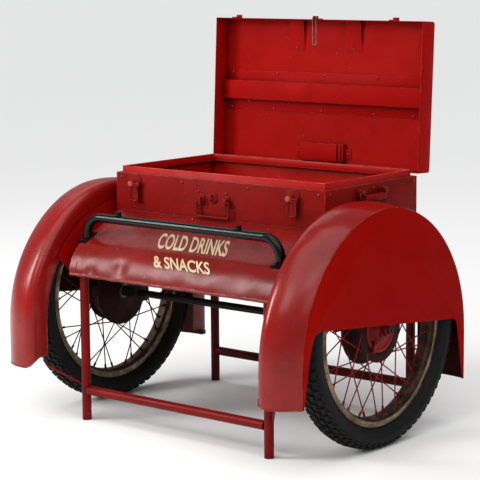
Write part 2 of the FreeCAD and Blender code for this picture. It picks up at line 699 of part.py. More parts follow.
def build_fender(name, side):
    """A domed crown over the tyre with a flat plate outboard and a small one inboard."""
    steps = 12
    angles = [math.pi * k / steps for k in range(steps + 1)]
    front_drop, rear_drop = fender_drops(side)
    centre = (0, size.fender_y, size.fender_z)
    stations = [(0.0, front_drop), (0.0, front_drop / 2)] + [(a, 0.0) for a in angles]
    stations += [(math.pi, rear_drop / 2), (math.pi, rear_drop)]
    crown = Part.makeLoft([fender_section(a, drop, side) for a, drop in stations], True, False)
    keep(shaped("crown_shape_" + name, crown, centre), "fender_crown_" + name)

    # outer plate: up to the crease, cut away below so that the hub shows
    plate_x = float(size.fender_plate_x) * side
    thick = float(size.sheet)
    front = fender_radii(0.0, side)[1]
    rear = fender_radii(math.pi, side)[1]
    low = float(size.fender_left_low) if side < 0 else 0.0

    def corner(y, z):
        return Vector(plate_x, y, z)

    arc = Part.BSplineCurve()
    radii = [fender_radii(a, side)[1] - thick for a in angles]
    arc.interpolate([corner(-r * math.cos(a), r * math.sin(a)) for a, r in zip(angles, radii)])
    rear_toe, front_toe = corner(rear - thick, -rear_drop), corner(thick - front, -front_drop)
    cut_rear, cut_front = corner(rear - 65, 30 - low), corner(74 - front, 86 - low)
    rear_side, front_side = corner(rear - 35, 8 - low), corner(42 - front, 66 - low)
    edges = [arc.toShape(), Part.makeLine(corner(rear - thick, 0), rear_toe),
             Part.makeLine(rear_toe, corner(rear - 7, -rear_drop)),
             Part.makeLine(corner(rear - 7, -rear_drop), rear_side),
             Part.Arc(rear_side, corner(rear - 44, 24 - low), cut_rear).toShape(),
             Part.makeLine(cut_rear, cut_front),
             Part.Arc(cut_front, corner(53 - front, 80 - low), front_side).toShape(),
             Part.makeLine(front_side, corner(28 - front, 23 - low)),
             Part.makeLine(corner(28 - front, 23 - low), corner(6 - front, -front_drop)),
             Part.makeLine(corner(6 - front, -front_drop), front_toe),
             Part.makeLine(front_toe, corner(thick - front, 0))]
    outer = Part.Face(Part.Wire(edges)).extrude(Vector(thick * side, 0, 0))
    keep(shaped("outer_plate_shape_" + name, outer, centre), "fender_side_plate_" + name)

    # inner plate: closes the crown towards the trunk above the frame
    inner_x = (float(size.fender_inner_x) - thick) * side
    level = 132
    first, last = math.radians(35), math.radians(150)
    reach = float(size.fender_inner) + 12
    sweep = [first + (last - first) * k / 6 for k in range(7)]
    arch = [(-reach * math.cos(a), reach * math.sin(a)) for a in sweep]
    curve = Part.BSplineCurve()
    curve.interpolate([Vector(inner_x, y, z) for y, z in arch])
    lower = [arch[-1], (arch[-1][0] - 30, level), (arch[0][0] + 45, level), arch[0]]
    spots = [Vector(inner_x, y, z) for y, z in lower]
    edges = [curve.toShape()] + [Part.LineSegment(a, b).toShape() for a, b in zip(spots, spots[1:])]
    inner = Part.Face(Part.Wire(edges)).extrude(Vector(thick * side, 0, 0))
    keep(shaped("inner_plate_shape_" + name, inner, centre), "fender_inner_plate_" + name)


def build_fender_stays():
    """A thin rod from each fender's front toe to the front leg, and two standoffs to the trunk."""
    rods = []
    leg = Vector(float(size.front_leg_x) + float(size.leg_dia) / 2, float(size.front_leg_y), 96)
    for side in (-1, 1):
        toe_z = float(size.fender_z) - fender_drops(side)[0] + 5
        toe = Vector(float(size.fender_inner_x) + 1, -325, toe_z)
        start = Vector(leg.x * side, leg.y, leg.z)
        run = Vector(toe.x * side, toe.y, toe.z) - start
        rods.append(Part.makeCylinder(3, run.Length, start, run))
    keep(shaped("stay_pair", Part.makeCompound(rods)), "fender_stays")
    posts = []
    gap = float(size.fender_inner_x - size.sheet - size.trunk_width / 2)
    for side in (-1, 1):
        for post_y, post_z in ((40, 500), (180, 480)):
            start = Vector(float(size.trunk_width) / 2 * side, post_y, post_z)
            posts.append(Part.makeCylinder(7, gap, start, Vector(side, 0, 0)))
    keep(shaped("standoff_set", Part.makeCompound(posts)), "fender_standoffs")


# ---------------------------------------------------------------- apron and bumper
def build_apron():
    """The sloping front panel with its rounded nose and rolled lip, and its end flanges."""
    top = Vector(0, float(size.trunk_front), float(size.apron_top_z))
    crease = Vector(0, float(size.crease_y), float(size.crease_z))
    lip = Vector(0, float(size.lip_y), float(size.lip_z))
    bulge = Vector(0, float(size.bulge_y), float(size.bulge_z))
    thick = float(size.sheet)
    slope = (crease - top).normalize()
    normal = Vector(0, -slope.z, slope.y)
    if normal.z < 0:
        normal = normal * -1
    down = normal * -thick
    lift = normal * 2

    def profile(over, under):
        """The panel's side profile between two offsets from its outer line."""
        edges = []
        for offset in (over, under):
            edges.append(Part.LineSegment(top + offset, crease + offset).toShape())
            edges.append(Part.Arc(crease + offset, bulge + offset, lip + offset).toShape())
        edges.append(Part.LineSegment(lip + over, lip + under).toShape())
        edges.append(Part.LineSegment(top + over, top + under).toShape())
        return Part.Face(Part.Wire(Part.__sortEdges__(edges)))

    span = float(size.apron_left + size.apron_right)
    panel = profile(Vector(), down).extrude(Vector(span, 0, 0))
    roll = Part.makeCylinder(5, span, lip + Vector(0, 3, -3), Vector(1, 0, 0))
    bands = []
    for start in (0, span - 14):
        band = profile(lift, down).extrude(Vector(14, 0, 0))
        band.translate(Vector(start, 0, 0))
        bands.append(band)
    panel = panel.fuse([roll] + bands).removeSplitter()
    keep(shaped("apron_shape", panel, (-size.apron_left, 0, 0)), "apron_panel")

    # two upright gussets stand on the frame and carry the panel from inside
    rest_z = float(size.upper_rail_z + size.leg_dia / 2)
    drop = down * 1.05
    ends = []
    for side in (-1, 1):
        spots = [top + drop + slope * 2, crease + drop, bulge + Vector(0, 7, -1),
                 Vector(0, bulge.y - 1, rest_z + 1), Vector(0, top.y - 1, rest_z + 1)]
        loop = Part.makePolygon(spots + spots[:1])
        plate = Part.Face(loop).extrude(Vector(3 * side, 0, 0))
        plate.translate(Vector(285 * side, 0, 0))
        ends.append(plate)
    keep(shaped("apron_gusset_pair", Part.makeCompound(ends)), "apron_gussets")


def build_bumper():
    """The black push bar, bent down at both ends to flanges bolted on the apron."""
    radius = float(size.bar_dia) / 2
    left, right = -float(size.bar_left), float(size.bar_right)
    bar_y, bar_z = float(size.bar_y), float(size.bar_z)
    share = (bar_y - float(size.trunk_front)) / (float(size.crease_y) - float(size.trunk_front))
    foot_z = float(size.apron_top_z) + (float(size.crease_z) - float(size.apron_top_z)) * share
    flange = 4
    corners = [Vector(left, bar_y, foot_z + flange - 2), Vector(left, bar_y, bar_z),
               Vector(right, bar_y, bar_z), Vector(right, bar_y, foot_z + flange - 2)]
    bar = bent_rod(corners, float(size.bar_bend), radius)
    slope = math.degrees(math.atan2(float(size.apron_top_z - size.crease_z),
                                    float(size.trunk_front - size.crease_y)))
    feet, bolts = [], []
    for end_x in (left, right):
        turn = FreeCAD.Rotation(Vector(1, 0, 0), slope)
        spot = FreeCAD.Placement(Vector(end_x, bar_y, foot_z), turn)
        foot = Part.makeBox(26, 52, flange, Vector(-13, -26, 0.2))
        foot.Placement = spot
        feet.append(foot)
        for end in (-1, 1):
            head = Part.makeCylinder(5, 5, Vector(0, 19 * end, flange + 0.2), Vector(0, 0, 1))
            head.Placement = spot.multiply(head.Placement)
            bolts.append(head)
    for stud_x in (-225, 190):
        bolts.append(Part.makeCylinder(9, 10, Vector(stud_x, bar_y, bar_z + radius - 1), Vector(0, 0, 1)))
    keep(shaped("bumper_shape", bar.fuse(feet).removeSplitter()), "bumper_bar")
    keep(shaped("bumper_bolt_set", Part.makeCompound(bolts)), "bumper_bolts")


# ---------------------------------------------------------------- handles and latches
def bail(half, drop, wire, tuck, bend):
    """A loop of bent wire, hanging in the XZ plane, whose ends tuck in along its pivot axis."""
    points = [Vector(tuck - half, 0, 0), Vector(-half, 0, 0), Vector(-half, 0, -drop),
              Vector(half, 0, -drop), Vector(half, 0, 0), Vector(half - tuck, 0, 0)]
    return bent_rod(points, bend, wire / 2)


def build_handles():
    """The front drop handle, a carrying handle on each side, and their brackets."""
    wire = float(size.wire_dia)
    half, drop = float(size.bail_half), float(size.bail_drop)
    front_y, bail_x, bail_z = float(size.trunk_front), float(size.bail_x), float(size.bail_z)
    stand, tuck, clear = 11, float(size.bail_tuck), wire / 2 + 0.05
    width, bend = 9, wire * 1.1
    bar = bail(half, drop, wire, tuck, bend)
    keep(shaped("front_handle_shape", bar, (bail_x, front_y - stand, bail_z)), "front_handle")
    ears = []
    for ear_x in (bail_x - half + bend + 1, bail_x + half - bend - 1 - width):
        ear = Part.makeBox(width, stand + 5, 18, Vector(ear_x, front_y - stand - 5, bail_z - 9))
        bore = Part.makeCylinder(clear, width, Vector(ear_x, front_y - stand, bail_z),
                                 Vector(1, 0, 0))
        pad = Part.makeBox(13, 2.5, 28, Vector(ear_x - 2, front_y - 2.5, bail_z - 12))
        ears.append(ear.fuse(pad).cut(bore).removeSplitter())
    side_half, side_z, side_y = (float(size.side_bail_half), float(size.side_bail_z),
                                 float(size.side_bail_y))
    wall = float(size.trunk_width) / 2
    for name, side in SIDES:
        loop = bail(side_half, 15, wire, tuck, bend)
        grip = Part.makeCylinder(9, 88, Vector(-44, 0, -15), Vector(1, 0, 0))
        handle = loop.fuse(grip).removeSplitter()
        handle.rotate(Vector(), Vector(0, 0, 1), 90)
        keep(shaped("side_handle_shape_" + name, handle, ((wall + 16) * side, side_y, side_z)),
             "side_handle_" + name)
        for ear_y in (side_y - side_half + bend + 1, side_y + side_half - bend - 1 - width):
            ear = Part.makeBox(21, width, 13, Vector(wall if side > 0 else -wall - 21, ear_y, side_z - 7))
            bore = Part.makeCylinder(clear, width, Vector((wall + 16) * side, ear_y, side_z),
                                     Vector(0, 1, 0))
            pad = Part.makeBox(2.5, 22, 22, Vector(wall if side > 0 else -wall - 2.5,
                                                   ear_y - 6, side_z - 13))
            ears.append(ear.fuse(pad).cut(bore).removeSplitter())
    keep(shaped("bracket_set", Part.makeCompound(ears)), "handle_brackets")

    # round staple plate between the handle's brackets, for a padlock
    staple_x = float(size.staple_x)
    disc = Part.makeCylinder(15, 3, Vector(staple_x, front_y, bail_z + 8), Vector(0, -1, 0))
    ring = Part.makeTorus(7, 2.2, Vector(staple_x, front_y - 5, bail_z + 8), Vector(1, 0, 0))
    behind = Part.makeBox(40, 20, 40, Vector(staple_x - 20, front_y, bail_z - 12))
    staple = disc.fuse(ring.cut(behind))
    keep(shaped("staple_shape", staple.removeSplitter()), "lock_staple")


def build_latches():
    """Two drop latches on the trunk front, and the hasp with its wire on the lid."""
    front_y = float(size.trunk_front)
    top = float(size.trunk_top)
    plates = []
    pivot_z = top - float(size.latch_drop)
    for name, latch_x in (("left", -float(size.latch_left)), ("right", float(size.latch_right))):
        plate = Part.makeBox(40, 2.5, 54, Vector(latch_x - 29, front_y - 2.5, top - 74))
        dome = Part.makeCylinder(20, 2.5, Vector(latch_x - 9, front_y, top - 20), Vector(0, -1, 0))
        knob = Part.makeCylinder(7, 12, Vector(latch_x - 20.5, front_y, pivot_z), Vector(0, -1, 0))
        lugs = []
        for lug in (-12, 9):
            ear = Part.makeBox(3, 12, 12, Vector(latch_x + lug, front_y - 13, pivot_z - 6))
            lugs.append(ear)
        body = plate.fuse([dome, knob] + lugs)
        pin_hole = Part.makeCylinder(2.05, 26.8, Vector(latch_x - 13.4, front_y - 9, pivot_z),
                                     Vector(1, 0, 0))
        plates.append(body.cut(pin_hole).removeSplitter())
        tongue = Part.makeBox(17, 2.5, 45, Vector(-8.5, -3.5, -45))
        barrel = Part.makeCylinder(4, 17, Vector(-8.5, 0, 0), Vector(1, 0, 0))
        pin = Part.makeCylinder(2, 26, Vector(-13, 0, 0), Vector(1, 0, 0))
        lip = Part.makeBox(17, 6, 2.5, Vector(-8.5, -9, -45))
        lever = tongue.fuse([barrel, pin, lip]).removeSplitter()
        keep(shaped("latch_lever_shape_" + name, lever, (latch_x, front_y - 9, pivot_z)),
             "latch_lever_" + name)
    keep(shaped("latch_plate_set", Part.makeCompound(plates)), "latch_plates")


def build_hasp():
    """The lid's centre eye plate and the loose wire loop that hangs from it."""
    eye_x = float(size.eye_x)
    rim = float(size.trunk_top + size.lid_gap)
    front_y = float(size.trunk_front)
    plate = Part.makeBox(22, 2.5, 20, Vector(eye_x - 11, front_y - 2.5, rim))
    lug = Part.makeBox(3, 8.5, 22, Vector(eye_x - 1.5, front_y - 9, rim - 10))
    eye = Vector(eye_x, front_y - 5.5, rim - 5)
    hole = Part.makeCylinder(1.6, 6, eye - Vector(3, 0, 0), Vector(1, 0, 0))
    swung(shaped("eye_shape", plate.fuse(lug).cut(hole).removeSplitter()), "lid_eye")
    hung = lid_turn().multVec(eye)
    loop = bail(6, 75, 2.2, 4.8, 3)
    keep(shaped("wire_shape", loop, (hung.x, hung.y, hung.z)), "lid_wire")


build_frame()
build_trunk()
build_lid()
build_hinges()
build_axle()
for wheel_name, wheel_side in SIDES:
    wheel_centre, plate_face = build_wheel(wheel_name, wheel_side)
    build_brake_lever(wheel_name, wheel_side, wheel_centre, plate_face)
    build_fender(wheel_name, wheel_side)
build_fender_stays()
build_apron()
build_bumper()
build_handles()
build_latches()
build_hasp()

# ---------------------------------------------------------------- check and write
doc.recompute()
for item in doc.Objects:
    if "Invalid" in item.State or "Error" in item.State:
        raise RuntimeError("%s did not build: %s" % (item.Label, item.State))
for item in nodes:
    if item.Shape.isNull() or not item.Shape.isValid() or not item.Shape.Solids:
        raise RuntimeError("%s has no valid solid" % item.Label)

os.makedirs("parts", exist_ok=True)
for item in nodes:
    item.Shape.exportStep("parts/%s.step" % item.Label)
    bounds = item.Shape.BoundBox
    print("%-26s solids %3d volume %9.0f x %7.1f %7.1f y %7.1f %7.1f z %7.1f %7.1f" % (
        item.Label, len(item.Shape.Solids), item.Shape.Volume, bounds.XMin, bounds.XMax,
        bounds.YMin, bounds.YMax, bounds.ZMin, bounds.ZMax))
print("pieces:", len(nodes))
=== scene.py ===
"""Drinks vending cart: a red steel trunk on a tube frame between two spoked wheels. Metres, front at -Y."""
import json
import math
import random

import bmesh
import bpy
from mathutils import Matrix, Vector

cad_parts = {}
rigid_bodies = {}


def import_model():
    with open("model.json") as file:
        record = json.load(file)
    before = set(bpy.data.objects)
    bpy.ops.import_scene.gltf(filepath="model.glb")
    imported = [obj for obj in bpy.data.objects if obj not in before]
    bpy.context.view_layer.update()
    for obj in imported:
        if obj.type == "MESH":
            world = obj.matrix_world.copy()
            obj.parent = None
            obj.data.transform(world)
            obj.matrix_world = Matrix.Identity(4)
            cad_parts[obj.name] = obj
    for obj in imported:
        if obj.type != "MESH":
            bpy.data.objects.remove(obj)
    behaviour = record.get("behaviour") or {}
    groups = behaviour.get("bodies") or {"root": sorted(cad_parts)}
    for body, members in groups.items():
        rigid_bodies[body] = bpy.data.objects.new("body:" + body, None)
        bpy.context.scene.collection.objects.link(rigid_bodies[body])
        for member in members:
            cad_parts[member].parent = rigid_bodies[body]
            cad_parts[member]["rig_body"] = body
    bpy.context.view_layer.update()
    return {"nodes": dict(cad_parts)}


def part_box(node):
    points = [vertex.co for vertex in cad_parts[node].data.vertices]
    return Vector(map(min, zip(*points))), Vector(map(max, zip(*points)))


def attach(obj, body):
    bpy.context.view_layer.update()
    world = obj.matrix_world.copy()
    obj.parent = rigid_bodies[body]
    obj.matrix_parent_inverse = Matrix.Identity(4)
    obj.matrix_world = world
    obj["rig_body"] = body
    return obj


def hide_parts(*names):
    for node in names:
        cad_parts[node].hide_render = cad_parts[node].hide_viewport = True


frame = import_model()

# ------------------------------------------------------------------ studio
# A pale painted floor that runs on past the view, a soft box on each side of the cart with an even sky
# over it, and one long lens at sitting height off the cart's right front corner.


def linear(code):
    """An sRGB hex colour as linear red, green, blue and alpha."""
    parts = [int(code[at:at + 2], 16) / 255 for at in (1, 3, 5)]
    return [p / 12.92 if p <= 0.04045 else ((p + 0.055) / 1.055) ** 2.4 for p in parts] + [1.0]


def add_node(tree, kind, inputs=None, **settings):
    """A node with its settings, and with its inputs set or linked by name or number."""
    node = tree.nodes.new(kind)
    for name, value in settings.items():
        setattr(node, name, value)
    for name, value in (inputs or {}).items():
        if isinstance(value, bpy.types.NodeSocket):
            tree.links.new(value, node.inputs[name])
        else:
            node.inputs[name].default_value = value
    return node


def new_tree(name):
    """An empty material and its node tree."""
    material = bpy.data.materials.new(name)
    material.use_nodes = True
    material.node_tree.nodes.clear()
    return material, material.node_tree


scene = bpy.context.scene
scene.view_settings.view_transform = "Standard"

bpy.ops.object.select_all(action="DESELECT")
bpy.ops.mesh.primitive_plane_add(size=120, location=(0, 0, 0))
floor = bpy.context.object
floor.name = "floor"
floor_paint, tree = new_tree("matt_floor_paint")
grain = add_node(tree, "ShaderNodeTexNoise", {"Scale": 1.5, "Detail": 4.0})
shade = add_node(tree, "ShaderNodeMix", {0: grain.outputs[0], 6: linear("#f2f1ef"), 7: linear("#f7f6f5")},
                 data_type="RGBA")
shader = add_node(tree, "ShaderNodeBsdfPrincipled",
                  {"Base Color": shade.outputs[2], "Roughness": 0.8, "Specular IOR Level": 0.1})
add_node(tree, "ShaderNodeOutputMaterial", {"Surface": shader.outputs[0]})
floor.data.materials.append(floor_paint)

world = bpy.data.worlds.new("studio_air")
scene.world = world
world.use_nodes = True
world.node_tree.nodes["Background"].inputs["Color"].default_value = (0.93, 0.96, 1.0, 1.0)
world.node_tree.nodes["Background"].inputs["Strength"].default_value = 0.34

middle = Vector((0, 0, 0.5))
for light_name, azimuth, elevation, away, wide, high, watts in (
        ("left_box", -44, 24, 3.6, 1.0, 1.5, 80),
        ("front_box", 8, 34, 4.2, 2.0, 1.4, 24),
        ("right_box", 72, 30, 4.2, 2.2, 2.2, 24),
        ("rear_box", -121, 46, 3.8, 2.4, 1.8, 10)):
    lamp = bpy.data.lights.new(light_name, "AREA")
    lamp.shape = "RECTANGLE"
    lamp.size, lamp.size_y, lamp.energy = wide, high, watts
    holder = bpy.data.objects.new(light_name, lamp)
    scene.collection.objects.link(holder)
    turn, lift = math.radians(azimuth), math.radians(elevation)
    back = Vector((math.sin(turn) * math.cos(lift), -math.cos(turn) * math.cos(lift), math.sin(lift)))
    holder.location = middle + back * away
    holder.rotation_euler = back.to_track_quat("Z", "Y").to_euler()
sun = bpy.data.lights.new("even_sky", "SUN")
sun.energy, sun.angle = 1.9, math.radians(70)
sky = bpy.data.objects.new("even_sky", sun)
scene.collection.objects.link(sky)
sky.rotation_euler = (math.radians(18), math.radians(10), 0)

view_azimuth, view_elevation, view_roll = (math.radians(a) for a in (39.86, 8.72, -0.45))
view_back = Vector((math.sin(view_azimuth) * math.cos(view_elevation),
                    -math.cos(view_azimuth) * math.cos(view_elevation), math.sin(view_elevation)))
flat_right = Vector((math.cos(view_azimuth), math.sin(view_azimuth), 0))
flat_up = view_back.cross(flat_right)
view_right = flat_right * math.cos(view_roll) + flat_up * math.sin(view_roll)
view_up = view_back.cross(view_right)
lens = bpy.data.cameras.new("long_lens")
lens.lens, lens.sensor_width = 137.7, 36
lens.clip_end = 200
camera = bpy.data.objects.new("camera", lens)
scene.collection.objects.link(camera)
camera.matrix_world = (Matrix.Translation(Vector((0.0006, 0.0205, 0.4889)) + view_back * 4.9276)
                       @ Matrix((view_right, view_up, view_back)).transposed().to_4x4())
scene.camera = camera

# ------------------------------------------------------------------ tube frame
# Four legs, two stretchers and two thin stays of 25 mm steel tube and rod, saw-cut and arc-welded.
# They are brushed with the cart's red gloss enamel, which is thin and dull where hands and feet rub.


def enamel(name, base, faded, grime, wear=0.5, gloss=0.38, level=0.3, dirt=0.4, patch=5.0,
           brush=(5, 5, 120), worn="#c9766a"):
    """Old gloss enamel brushed over steel: faded in patches, darkened to near black in its inside corners as a
    painted shade, and worn along the edges to the pale coat below. Wear and dirt go from 0 to 1, patch is in
    patches a metre."""
    material, tree = new_tree(name)
    place = add_node(tree, "ShaderNodeTexCoord").outputs["Object"]
    cloud = add_node(tree, "ShaderNodeTexNoise", {"Vector": place, "Scale": patch, "Detail": 5.0,
                                                  "Roughness": 0.6})
    fade = add_node(tree, "ShaderNodeMapRange", {0: cloud.outputs[0], 1: 0.42, 2: 0.68})
    tone = add_node(tree, "ShaderNodeMix", {0: fade.outputs[0], 6: linear(base), 7: linear(faded)},
                    data_type="RGBA")
    # brush marks run along the sheet, about 8 mm apart
    stretch = add_node(tree, "ShaderNodeMapping", {"Vector": place, "Scale": brush})
    marks = add_node(tree, "ShaderNodeTexNoise", {"Vector": stretch.outputs[0], "Scale": 1.0, "Detail": 4.0})
    streak = add_node(tree, "ShaderNodeMapRange", {0: marks.outputs[0], 1: 0.5, 2: 0.75, 4: 0.35 * dirt})
    streaked = add_node(tree, "ShaderNodeMix", {0: streak.outputs[0], 6: tone.outputs[2], 7: linear(grime)},
                        data_type="RGBA")
    smoke = add_node(tree, "ShaderNodeTexNoise", {"Vector": place, "Scale": patch * 3.1, "Detail": 8.0,
                                                  "Roughness": 0.65, "Distortion": 0.4})
    soil = add_node(tree, "ShaderNodeMapRange", {0: smoke.outputs[0], 1: 0.5, 2: 0.72, 4: dirt})
    soiled = add_node(tree, "ShaderNodeMix", {0: soil.outputs[0], 6: streaked.outputs[2],
                                              7: linear(grime)}, data_type="RGBA")
    # painted shade: the colour darkens to near black within 25 mm of an inside corner
    open_air = add_node(tree, "ShaderNodeAmbientOcclusion", {"Distance": 0.025}, samples=4)
    corner = add_node(tree, "ShaderNodeMapRange", {0: open_air.outputs["AO"], 1: 0.45, 2: 0.85, 3: 0.75,
                                                   4: 0.0})
    corner_shaded = add_node(tree, "ShaderNodeMix", {0: corner.outputs[0], 6: soiled.outputs[2],
                                                7: linear("#2a0605")}, data_type="RGBA")
    # edges are rubbed over a band of about 2 mm, in broken lengths
    rounded = add_node(tree, "ShaderNodeBevel", {"Radius": 0.0022}, samples=4)
    true_face = add_node(tree, "ShaderNodeNewGeometry").outputs["Normal"]
    turn = add_node(tree, "ShaderNodeVectorMath", {0: rounded.outputs[0], 1: true_face},
                    operation="DOT_PRODUCT")
    edge = add_node(tree, "ShaderNodeMapRange", {0: turn.outputs["Value"], 1: 0.995, 2: 0.9, 3: 0.0,
                                                 4: 1.0})
    broken = add_node(tree, "ShaderNodeTexNoise", {"Vector": place, "Scale": 45.0, "Detail": 6.0,
                                                   "Roughness": 0.7})
    kept = add_node(tree, "ShaderNodeMapRange", {0: broken.outputs[0], 1: 0.62 - 0.3 * wear, 2: 0.66,
                                                 4: wear})
    rub = add_node(tree, "ShaderNodeMath", {0: edge.outputs[0], 1: kept.outputs[0]}, operation="MULTIPLY")
    outside = add_node(tree, "ShaderNodeMapRange", {0: open_air.outputs["AO"], 1: 0.6, 2: 0.9})
    rubbed = add_node(tree, "ShaderNodeMath", {0: rub.outputs[0], 1: outside.outputs[0]},
                      operation="MULTIPLY")
    # chips a few millimetres across, here and there on the faces
    flecks = add_node(tree, "ShaderNodeTexNoise", {"Vector": place, "Scale": 90.0, "Detail": 3.0})
    chip = add_node(tree, "ShaderNodeMapRange", {0: flecks.outputs[0], 1: 0.74, 2: 0.77, 4: 0.7 * wear})
    bare = add_node(tree, "ShaderNodeMath", {0: rubbed.outputs[0], 1: chip.outputs[0]}, operation="MAXIMUM")
    colour = add_node(tree, "ShaderNodeMix", {0: bare.outputs[0], 6: corner_shaded.outputs[2], 7: linear(worn)},
                      data_type="RGBA")
    polish = add_node(tree, "ShaderNodeMapRange", {0: smoke.outputs[0], 1: 0.3, 2: 0.7, 3: gloss - 0.06,
                                                   4: gloss + 0.14})
    dings = add_node(tree, "ShaderNodeTexNoise", {"Vector": place, "Scale": 9.0, "Detail": 2.0})
    sway = add_node(tree, "ShaderNodeBump", {"Height": dings.outputs[0], "Strength": 0.6, "Distance": 0.003})
    ridges = add_node(tree, "ShaderNodeMath", {0: marks.outputs[0], 1: broken.outputs[0]}, operation="ADD")
    relief = add_node(tree, "ShaderNodeBump", {"Height": ridges.outputs[0], "Strength": 0.35,
                                               "Distance": 0.0005, "Normal": sway.outputs[0]})
    shader = add_node(tree, "ShaderNodeBsdfPrincipled", {
        "Base Color": colour.outputs[2], "Roughness": polish.outputs[0], "Specular IOR Level": level,
        "IOR": 1.5, "Normal": relief.outputs[0]})
    add_node(tree, "ShaderNodeOutputMaterial", {"Surface": shader.outputs[0]})
    return material


def dressed(material, *names):
    """Give CAD pieces a material in place of their plain one."""
    for name in names:
        for holder in frame["nodes"][name].material_slots:
            holder.material = material


def apply_all(piece):
    """Apply a piece's modifiers in turn and smooth it up to its sharp edges."""
    bpy.ops.object.select_all(action="DESELECT")
    piece.select_set(True)
    bpy.context.view_layer.objects.active = piece
    for modifier in list(piece.modifiers):
        bpy.ops.object.modifier_apply(modifier=modifier.name)
    bpy.ops.object.shade_smooth_by_angle(angle=math.radians(38))


def stands_for(piece, material, *names):
    """Let a finished piece take a material and the body of the CAD pieces whose place it takes, and hide them.
    """
    piece.data.materials.clear()
    piece.data.materials.append(material)
    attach(piece, frame["nodes"][names[0]]["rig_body"])
    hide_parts(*names)


def eased(name, material, width, segments=2):
    """A CAD piece copied with its facets merged and its sharp edges rounded by a width."""
    bpy.ops.object.select_all(action="DESELECT")
    source = frame["nodes"][name]
    piece = bpy.data.objects.new(name + "_made", source.data.copy())
    scene.collection.objects.link(piece)
    piece.select_set(True)
    bpy.context.view_layer.objects.active = piece
    bpy.ops.mesh.customdata_custom_splitnormals_clear()
    bpy.ops.object.mode_set(mode="EDIT")
    bpy.ops.mesh.select_all(action="SELECT")
    bpy.ops.mesh.remove_doubles(threshold=0.00002)
    bpy.ops.mesh.dissolve_limited(angle_limit=math.radians(0.6))
    bpy.ops.object.mode_set(mode="OBJECT")
    round_over = piece.modifiers.new("round_over", "BEVEL")
    round_over.width, round_over.segments = width, segments
    round_over.limit_method, round_over.angle_limit = "ANGLE", math.radians(40)
    round_over.use_clamp_overlap = True
    apply_all(piece)
    stands_for(piece, material, name)
    return piece


leg_enamel = enamel("brushed_gloss_enamel_on_tube", "#6c0806", "#7a100c", "#380505", wear=0.7, gloss=0.36,
                    level=0.10, dirt=0.35, patch=7.0, brush=(90, 90, 6), worn="#d58a7c")
dressed(leg_enamel, "front_leg_left", "front_leg_right", "front_lower_rail", "fender_stays")
# the rear legs and rail take a darker copy of the leg enamel, a painted shade
rear_leg_shade_enamel = enamel("brushed_gloss_enamel_painted_shade", "#4c0907", "#5c0f0c", "#220403", wear=0.4, gloss=0.5,
                     level=0.12, dirt=0.5, patch=7.0, brush=(90, 90, 6))
dressed(rear_leg_shade_enamel, "rear_leg_left", "rear_leg_right", "rear_lower_rail")

# the welded frame under the trunk, in black chassis enamel with a film of dust
chassis_black = enamel("black_chassis_enamel", "#0d0a0a", "#161110", "#050404", wear=0.2, gloss=0.5,
                       level=0.15, dirt=0.4, patch=8.0, worn="#3c3430")
dressed(chassis_black, "upper_frame", "axle_brackets", "axle", "axle_spacers")

# ------------------------------------------------------------------ trunk
# A 720 x 405 mm tool trunk of folded sheet with a ledge and an upstanding collar round its mouth, held
# by round-headed rivets. The front is browned by handling, and the collar's edges are rubbed to pink.
trunk_enamel = enamel("smoke_stained_gloss_enamel", "#760806", "#82100b", "#33100a", wear=0.75, gloss=0.45,
                      level=0.05, dirt=0.55, patch=4.0, brush=(4, 4, 90), worn="#cf7f72")
collar_enamel = enamel("hand_rubbed_gloss_enamel", "#a30a06", "#b0140d", "#5a0a06", wear=1.0, gloss=0.38,
                       level=0.1, dirt=0.25, patch=4.0, worn="#dc9186")
eased("trunk_collar", collar_enamel, 0.0006)
rivet_enamel = enamel("painted_rivet_enamel", "#850e0a", "#96170f", "#300604", wear=1.0, gloss=0.34,
                      level=0.25, dirt=0.4, worn="#c98a7c")
eased("trunk_rivets", rivet_enamel, 0.0008)

# ------------------------------------------------------------------ lid
# A shallow folded tray on three butt hinges, with a hat-section strap riveted across it, two bent
# braces, a little pocket and two catch hooks. Inside, the enamel is fresher and brighter.
lid_enamel = enamel("sheltered_gloss_enamel", "#960704", "#a00b06", "#6a0805", wear=0.6, gloss=0.5,
                    level=0.04, dirt=0.22, patch=3.2, brush=(3, 60, 60), worn="#cc6a5c")
for name, width in (("lid_shell", 0.0006), ("lid_strap", 0.0006), ("lid_gussets", 0.0005),
                    ("lid_pocket", 0.0005), ("lid_hooks", 0.0006), ("lid_eye", 0.0005)):
    eased(name, lid_enamel, width)
eased("lid_rivets", rivet_enamel, 0.0008)
eased("hinge_leaves_trunk", trunk_enamel, 0.0004)
eased("hinge_leaves_lid", lid_enamel, 0.0004)

# the trunk's walls: handled enamel outside, the lid's fresh enamel inside
trunk = eased("trunk_body", trunk_enamel, 0.0006)
trunk.data.materials.append(lid_enamel)
trunk_middle = sum(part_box("trunk_body"), Vector()) / 2
for face in trunk.data.polygons:
    if face.normal.dot(face.center - trunk_middle) < 0:
        face.material_index = 1


